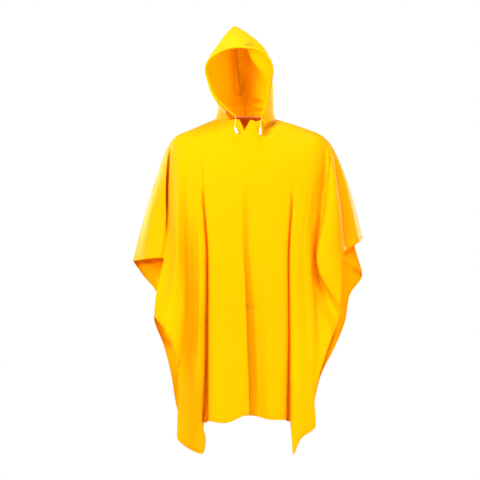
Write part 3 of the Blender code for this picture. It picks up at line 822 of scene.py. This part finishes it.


# Creases of the front, across and up
# The fourth number of each row is painted shade: dark in the folds and pleats, a painted shadow under the hood's
# foot on the viewer's right, and darker towards the hem
frontCreases = [
    (8, 7, 26, 0.22, [(-13, -210), (-12, -421), (-6, -560), (1, -734), (7, -873), (11, -1010), (12, -1100)]),
    (8, 7, 24, 0.5, [(-12, -440), (-5, -560), (1, -734), (7, -873), (10, -1030), (11, -1160)]),
    (5, 5, 6, 0.2, [(-8, -642), (8, -656), (30, -650)]),
    (2.5, 4, 4, 0.1, [(-160, -80), (-159, -160), (-154, -250)]),
    (5, 5, 6, 0.55, [(-267, -50), (-272, -100), (-277, -143), (-280, -178), (-282, -300), (-282, -430)], 0.2),
    (5, 7, 8, 0.15, [(-230, -838), (-251, -887), (-244, -934)]),
    (-3, 18, 18, 0, [(-190, -810), (-184, -900), (-183, -1015)]),
    (3, 34, 40, 0.54, [(-203, -260), (-201, -480), (-200, -640), (-206, -760), (-216, -860), (-228, -960)]),
    (0, 76, 46, 0.34, [(-205, -660), (-200, -860), (-195, -1000), (-190, -1100), (-185, -1560)]),
    (0, 12, 6, 0.4, [(-146, -430), (-146, -600), (-146, -820), (-150, -960), (-156, -1090)], 0.16),
    (0, 42, 6, 0.4, [(-147, -560), (-147, -740), (-148, -860), (-151, -960), (-155, -1040), (-160, -1110)], 0.3),
    (0, 3, 9, 0.5, [(-139, -350), (-138, -600), (-138, -820), (-138, -1000), (-139, -1250)]),
    (0, 14, 3, 0.3, [(142, -250), (136, -500), (137, -820), (134, -1000), (133, -1150)]),
    (0, 8, 8, 0.35, [(141, -720), (141, -800), (140, -900), (139, -1000), (138, -1200)]),
    (0, 330, 330, 0.17, [(-330, -1170), (0, -1130), (330, -1170)], 0.05),
    (0, 3, 14, 0.3, [(148, -560), (148, -760), (150, -900), (149, -1000), (149, -1150)]),
    (7, 10, 6, 0.3, [(291, -96), (284, -160), (274, -215), (264, -270)]),
    (0, 15, 15, 0.34, [(264, -110), (250, -247), (246, -334), (241, -421), (233, -498), (240, -560)], 0.2),
    (8, 24, 18, 0.36, [(234, -500), (241, -548), (260, -582), (286, -612), (310, -642), (328, -676), (338, -720)],
     0.22),
    (5, 12, 9, 0.2, [(306, -110), (311, -160), (319, -247), (334, -334), (343, -421), (347, -470)], 0.2),
    (14, 25, 25, 0.8, [(112, 18), (90, -6), (76, -20), (63, -38), (53, -52), (45, -66)], 0.2),
    (0, 14, 14, 0.14, [(-140, -8), (-100, -12), (-60, -8), (-20, -6)]),
]
# Creases of the back, with painted shade in their folds
backCreases = [
    (8, 22, 8, 0.2, [(22, -200), (16, -430), (8, -620), (0, -800), (-8, -1000), (-10, -1200)]),
    (6, 20, 22, 0.25, [(-222, -240), (-236, -480), (-246, -680), (-262, -850)]),
    (6, 18, 22, 0.25, [(222, -230), (236, -470), (244, -640), (256, -820)]),
    (5, 9, 26, 0.16, [(-44, -560), (-52, -760), (-62, -960), (-66, -1160)]),
    (4, 24, 9, 0.14, [(92, -500), (88, -700), (78, -900), (74, -1160)]),
    (0, 30, 30, 0.14, [(-186, -760), (-192, -900), (-182, -1060), (-176, -1300)]),
    (0, 30, 30, 0.14, [(188, -700), (196, -860), (190, -1000), (184, -1300)]),
    (4, 9, 12, 0.1, [(286, -470), (316, -490), (364, -512)]),
    (4, 10, 12, 0.1, [(-300, -520), (-340, -500), (-384, -490)]),
]
# Painted shade inside the back, where the front's edges and the neck keep it dark
backInnerShades = [
    (0, 44, 44, 1.2, [(-200, -2), (0, -10), (200, -2)]),
    (0, 22, 22, 0.8, [(-470, -506), (-400, -500), (-300, -488), (-240, -484)], 0.1),
    (0, 26, 22, 0.6, [(-440, -500), (-396, -508), (-350, -560)]),
    (0, 26, 30, 0.72, [(-345, -650), (-324, -690), (-300, -752), (-274, -790), (-264, -822)], 0.3),
    (0, 34, 34, 0.42, [(-290, -740), (-270, -830), (-256, -920), (-246, -1020)]),
    (0, 11, 11, 0.8, [(330, -476), (345, -466), (372, -450), (410, -432)], 0.15),
    (0, 6, 6, 0.3, [(300, -488), (330, -498), (372, -518), (400, -530)]),
    (0, 10, 10, 0.8, [(350, -520), (380, -532), (400, -546), (430, -566)]),
    (0, 18, 16, 0.85, [(312, -716), (294, -762), (272, -822), (252, -876), (236, -930)], 0.2),
]


def makeBody():
    front, threads = makePanel("front_panel_cloth", frontFolds, frontPleats, frontSwings, -1, frontCreases, [])
    back, backThreads = makePanel("back_panel_cloth", backFolds, backPleats, [], 1, backCreases, backInnerShades)


makeBody()
print("poncho: front and back draped")


def hoodFoot(psi, side):  # the hood's foot stands on the neck's edge
    front = -1 if abs(psi) < 90 else 1
    turn = psi if front < 0 else side * (180 - abs(psi))
    return neckPoint(turn, front) + np.array([0.0, 0.0, hood["footGap"]])


def hoodHalf(ribs, side, first):  # side is -1 on the viewer's left
    spans = hood["across"]
    places = np.concatenate([[0], np.cumsum(spans)])
    shares = np.interp(range(sum(spans) + 1), places, hood["footShares"])
    rows = [[hoodFoot(side * (first + (180 - first) * share), side) for share in shares]]
    tuck = brim["width"] / 2 - hood["tuck"]
    for rib in [Rib(*row) for row in ribs]:
        cornerX = rib.seamX + rib.corner * (rib.sideX - rib.seamX)
        line = [rib[0:3]]
        for x, (reach, rise) in zip((rib.foldX, rib.sideX, cornerX), hood["bends"]):
            y = rib.foldY + reach * (rib.seamY - rib.foldY)
            line.append((x, y, rib.edgeZ + rise * (rib.seamZ - rib.edgeZ)))
        line = spline(line + [rib[7:10]], spans)
        along = lengthsAlong(line)
        lengths = np.concatenate([np.linspace(tuck, along[spans[0]], spans[0] + 1), along[spans[0] + 1 :]])
        rows.append(atLengths(line, lengths))
    counts = [hood["up"]] * len(ribs)
    grid = np.array([spline(line, counts) for line in np.array(rows).transpose(1, 0, 2)])
    return grid + np.array([side * hood["seam"], 0.0, 0.0])


# Creases of the hood's halves with their painted shade, on a flat view: from the face opening, and from the neck
# up
hoodRightCreases = [
    (3, 10, 12, 0.1, [(20, 120), (60, 60), (110, 12)]),
    (3, 9, 12, 0.1, [(80, 200), (130, 110), (160, 20)]),
    (-3, 14, 14, 0, [(130, 260), (190, 180), (230, 60)]),
    (0, 70, 70, 0.5, [(30, -80), (36, 0), (44, 50), (56, 110)]),
]
hoodLeftCreases = [
    (3, 10, 12, 0.1, [(24, 110), (66, 56), (104, 10)]),
    (3, 9, 12, 0.1, [(90, 190), (140, 100), (170, 16)]),
    (-3, 14, 14, 0, [(120, 250), (180, 190), (220, 70)]),
    (0, 60, 60, 0.14, [(10, 440), (20, 300), (26, 180), (30, 40)]),
]
# Wrinkles of the hood's back with painted shade in them, on the view from the front, and the painted shade inside
# the hood where it is in its own shade
hoodBackCreases = [
    (-3.5, 8, 9, 0.06, [(-90, 66), (-40, 54), (10, 56), (46, 66), (80, 78)]),
    (3, 8, 8, 0, [(-90, 46), (-20, 38), (30, 44), (80, 54)]),
    (-3.5, 7, 8, 0.12, [(-70, 32), (-10, 25), (36, 34), (80, 40)]),
    (3, 7, 7, 0, [(-60, 16), (10, 14), (60, 20)]),
    (-3, 6, 6, 0.16, [(-50, 150), (-49, 118), (-45, 96), (-33, 84), (-20, 96), (-17, 118), (-18, 150)]),
    (3, 9, 9, 0, [(-66, 280), (-60, 200), (-54, 140), (-50, 90)]),
]
hoodInnerShades = [
    (0, 62, 64, 0.42, [(-52, 420), (-45, 300), (-38, 180), (-28, 70), (-26, -50)]),
    (0, 50, 52, 0.45, [(14, 330), (12, 230), (12, 120), (12, 50), (14, -60)]),
    (0, 18, 22, 0.2, [(-64, 360), (-58, 240), (-50, 170), (-44, 110)]),
    (0, 90, 80, 0.14, [(-10, 190), (-12, 120), (-14, 70), (-14, 20)]),
    (0, 9, 9, 0.4, [(14, 62), (34, 66), (48, 58), (62, 56)]),
    (0, 8, 8, 0.4, [(22, 30), (38, 34), (50, 32), (64, 28)]),
    (0, 12, 12, 0.3, [(-180, 6), (0, 2), (180, 6)]),
]
insideHood = np.array(brim["middle"])
# The two halves' turnings stand inside the hood along its middle seam, and lie flat near the neck
seamTurning = {
    "height": 9.0,
    "wave": 1.2,  # how much its height and lean vary, and how fast along the seam
    "lean": 2.2,
    "waves": [(0.55, 0), (0.21, 0), (0.31, 0.7)],
    "flatBelow": 66.0,
    "rise": 30.0,
    "least": 0.15,
    "section": [(-0.9, 0.2), (0.9, 0.2), (1.1, 0.55), (0.8, 1.0), (-0.8, 1.0), (-1.1, 0.55)],
    # painted shade over the whole turning
    "shade": 0.55,
}


def makeHoodHalf(name, ribs, side, first, creases):
    grid = hoodHalf(ribs, side, first)
    normals = outwardNormals(grid, insideHood)
    across = np.cumsum(norm(np.diff(grid, axis=0, prepend=grid[:1]), axis=2), axis=0)
    up = np.cumsum(norm(np.diff(grid, axis=1, prepend=grid[:, :1]), axis=2), axis=1)
    push, shade = creased(np.stack([across, up], axis=2), creases)
    behind = np.clip((grid[..., 1] - hood["backFrom"]) / hood["backReach"], 0, 1)
    # Painted shade inside the hood's back, from its wrinkles and the inner shades
    wrinkles, innerShade = creased(grid[..., (0, 2)], hoodBackCreases)
    push += wrinkles * behind
    innerShade = (innerShade + creased(grid[..., (0, 2)], hoodInnerShades)[1]) * behind
    low = np.clip(2 - 2 * up / hoodLap["height"], 0, 1)
    depth, at, width = hoodLap["dip"]
    push += depth * swell((across - at) / width) * low
    # A painted shade line beside the casing's lower parts
    at, width = hoodLap["shadeAt"]
    at = at + hoodLap["shift"][0] * np.clip(up / hoodLap["shift"][1], 0, 1)
    shade += hoodLap["shade"][side > 0] * swell((across - at) / width) * low
    # The middle seam pulls the cloth in
    push += hood["seamDip"] * swell((across[-1:] - across) / hood["seamReach"])
    grid = grid - normals * push[..., None]
    normals = outwardNormals(grid, insideHood)
    normals[-1, :, 0] = 0
    normals[-1] /= norm(normals[-1], axis=1, keepdims=True)
    thin = np.full(grid.shape[:2], hood["cloth"])
    thick = thin + hood["footCloth"] * (up < hood["footHem"])
    piece = clothShell(name + "_cloth", grid, normals, thick, thick, (shade, shade + innerShade), hoodShadedCloth)
    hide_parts(name)
    return piece, grid


def makeSeam(line):
    rings = []
    tangents = np.gradient(line, axis=0)
    for i, (point, tangent) in enumerate(zip(line, tangents)):
        tangent = unit(tangent)
        inward = insideHood - point
        inward[0] = 0
        inward = unit(inward - tangent * inward.dot(tangent))
        side = np.cross(tangent, inward)
        quick, slow, leaning = (math.sin(i * wave + start) for wave, start in seamTurning["waves"])
        height = seamTurning["height"] + seamTurning["wave"] * quick * slow
        risen = (point[2] - seamTurning["flatBelow"]) / seamTurning["rise"]
        height *= min(1, max(seamTurning["least"], risen))
        lean = side * seamTurning["lean"] * leaning
        ring = []
        for sideways, deep in seamTurning["section"]:
            ring.append(point + side * sideways + inward * height * deep + lean * deep * deep)
        rings.append(ring)
    turning = ringPiece("hood_seam_turning", rings, hoodShadedCloth)
    # Painted shade over the whole turning
    giveShade(turning, np.full(len(turning.data.vertices), seamTurning["shade"]))
    return turning


def makeCasing():
    line = casingLine(brim["steps"])
    around = brim["around"]
    rings = []
    shades = []
    along = lengthsAlong(line)
    for i, (point, length) in enumerate(zip(line, along)):
        ahead = unit(line[min(i + 1, len(line) - 1)] - line[max(i - 1, 0)])
        outward = point - insideHood
        outward[1] = 0
        outward = unit(outward - ahead * outward.dot(ahead))
        forward = np.cross(ahead, outward)
        fromEnd = min(length, along[-1] - length)
        gather = brim["gather"] + brim["gatherAtEnds"] * math.exp(-fromEnd / brim["gatherReach"])
        puckers = brim["puckers"]
        pucker = gather * sum(size * math.sin(length / wave + start) for size, wave, start in puckers)
        thick = brim["thick"] / 2 * (1 + brim["swells"][0] * pucker)
        wide = brim["width"] / 2 * (1 + brim["swells"][1] * pucker)
        facing = math.radians(np.interp(length / along[-1], *zip(*brim["turn"])))
        turned = math.cos(facing), math.sin(facing)
        # Painted shade: the whole casing a little, and a dark line along its outer side near its right end
        lap = brim["lapShade"] * swell(max(0.0, length - brim["lapAt"]) / brim["lapReach"])
        ring = []
        for step in range(around):
            turn = 2 * math.pi * step / around
            c, s = math.cos(turn), math.sin(turn)
            c = thick * math.copysign(abs(c) ** brim["square"], c)
            s = wide * math.copysign(abs(s) ** brim["square"], s)
            out = c * turned[0] + s * turned[1]
            ring.append(point + outward * out + forward * (s * turned[0] - c * turned[1]))
            shades.append(brim["shade"] + lap * min(1, max(0, out - brim["lapFrom"])))
        rings.append(ring)
    rings = np.array(rings)

    def mouth(ring, inner):  # the end's lip and the tunnel that the cord comes out of
        centre = ring.mean(0)
        into = unit(inner.mean(0) - centre)
        return [centre + (ring - centre) * share + into * deep for share, deep in brim["mouth"]]

    ends = mouth(rings[0], rings[1]), mouth(rings[-1], rings[-2])
    inEnd = [brim["shade"]] * len(brim["mouth"]) * around
    rings = ends[0] + list(rings) + ends[1][::-1]
    casing = ringPiece("hood_casing_cloth", rings, cloth, sharp=60)
    giveShade(casing, np.array(inEnd + shades + inEnd))
    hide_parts("hood_casing")
    return casing


def makeHood():
    right, rightGrid = makeHoodHalf("hood_right", hoodRightRibs, -1, hood["footRight"], hoodRightCreases)
    left, leftGrid = makeHoodHalf("hood_left", hoodLeftRibs, 1, hood["footLeft"], hoodLeftCreases)
    turning = makeSeam((rightGrid[-1] + leftGrid[-1]) / 2)
    casing = makeCasing()


makeHood()
print("poncho: hood sewn")


# Studio: a pale floor, white surroundings and soft light from the upper left
studio = {
    "floorZ": -1700,
    "floorSize": 60000,
    "floorLight": (0.92, 0.92, 0.92, 1),
    "floorDark": (0.90, 0.90, 0.90, 1),
    "floorGlow": 0.42,  # keeps the floor pale where the lamps don't reach
    "background": (1.0, 1.0, 1.0, 1),
    "ambient": (0.52, 0.52, 0.53, 1),
}
# Each lamp's place, aim, size and power
lamps = {
    "key": ((-2000, -2700, 800), (0, 0, -450), 1500, 140),
    "fill": ((1700, -2700, -700), (0, 0, -650), 2600, 70),
    "crown": ((150, -380, 1200), (-30, -40, 280), 500, 15),
    "backLeft": ((-1900, 2000, -350), (-200, 0, -550), 1500, 85),
    "backRight": ((1900, 2000, -350), (200, 0, -550), 1500, 85),
    "hoodSide": ((-1500, 400, 450), (-120, 0, 150), 600, 7),
}


def makeStudio():
    size = studio["floorSize"] / 2 * metres
    corners = [(-size, -size), (size, -size), (size, size), (-size, size)]
    mesh = bpy.data.meshes.new("studio_floor")
    mesh.from_pydata([(x, y, studio["floorZ"] * metres) for x, y in corners], [], [(0, 1, 2, 3)])
    floor = place("studio_floor", mesh)
    floor.visible_diffuse = False
    finish = newFinish("pale floor")
    colour = finish.mixColour(finish.noise(2.0), studio["floorDark"], studio["floorLight"])
    matte = {
        "Base Color": colour,
        "Roughness": 0.9,
        "Emission Color": colour,
        "Emission Strength": studio["floorGlow"],
    }
    mesh.materials.append(finish.done(finish.principled(matte)))
    world = bpy.data.worlds.new("white studio")
    bpy.context.scene.world = world
    sky = Finish(world)
    seen = sky.node("ShaderNodeLightPath")
    colour = sky.mixColour(seen, studio["ambient"], studio["background"])
    light = sky.node("ShaderNodeBackground", {}, {"Color": colour, "Strength": 1.0})
    sky.node("ShaderNodeOutputWorld", {}, {"Surface": light})


def makeLamps():
    for name, (spot, aim, size, power) in lamps.items():
        light = bpy.data.lights.new(name + "_light", "AREA")
        light.shape = "DISK"
        light.size = size * metres
        light.energy = power
        holder = place(name + "_light", light)
        holder.visible_camera = False
        holder.location = np.array(spot) * metres
        heading = (np.array(aim) - spot) * metres
        holder.rotation_euler = Vector(heading).to_track_quat("-Z", "Y").to_euler()


makeStudio()
makeLamps()
print("poncho: studio lit")
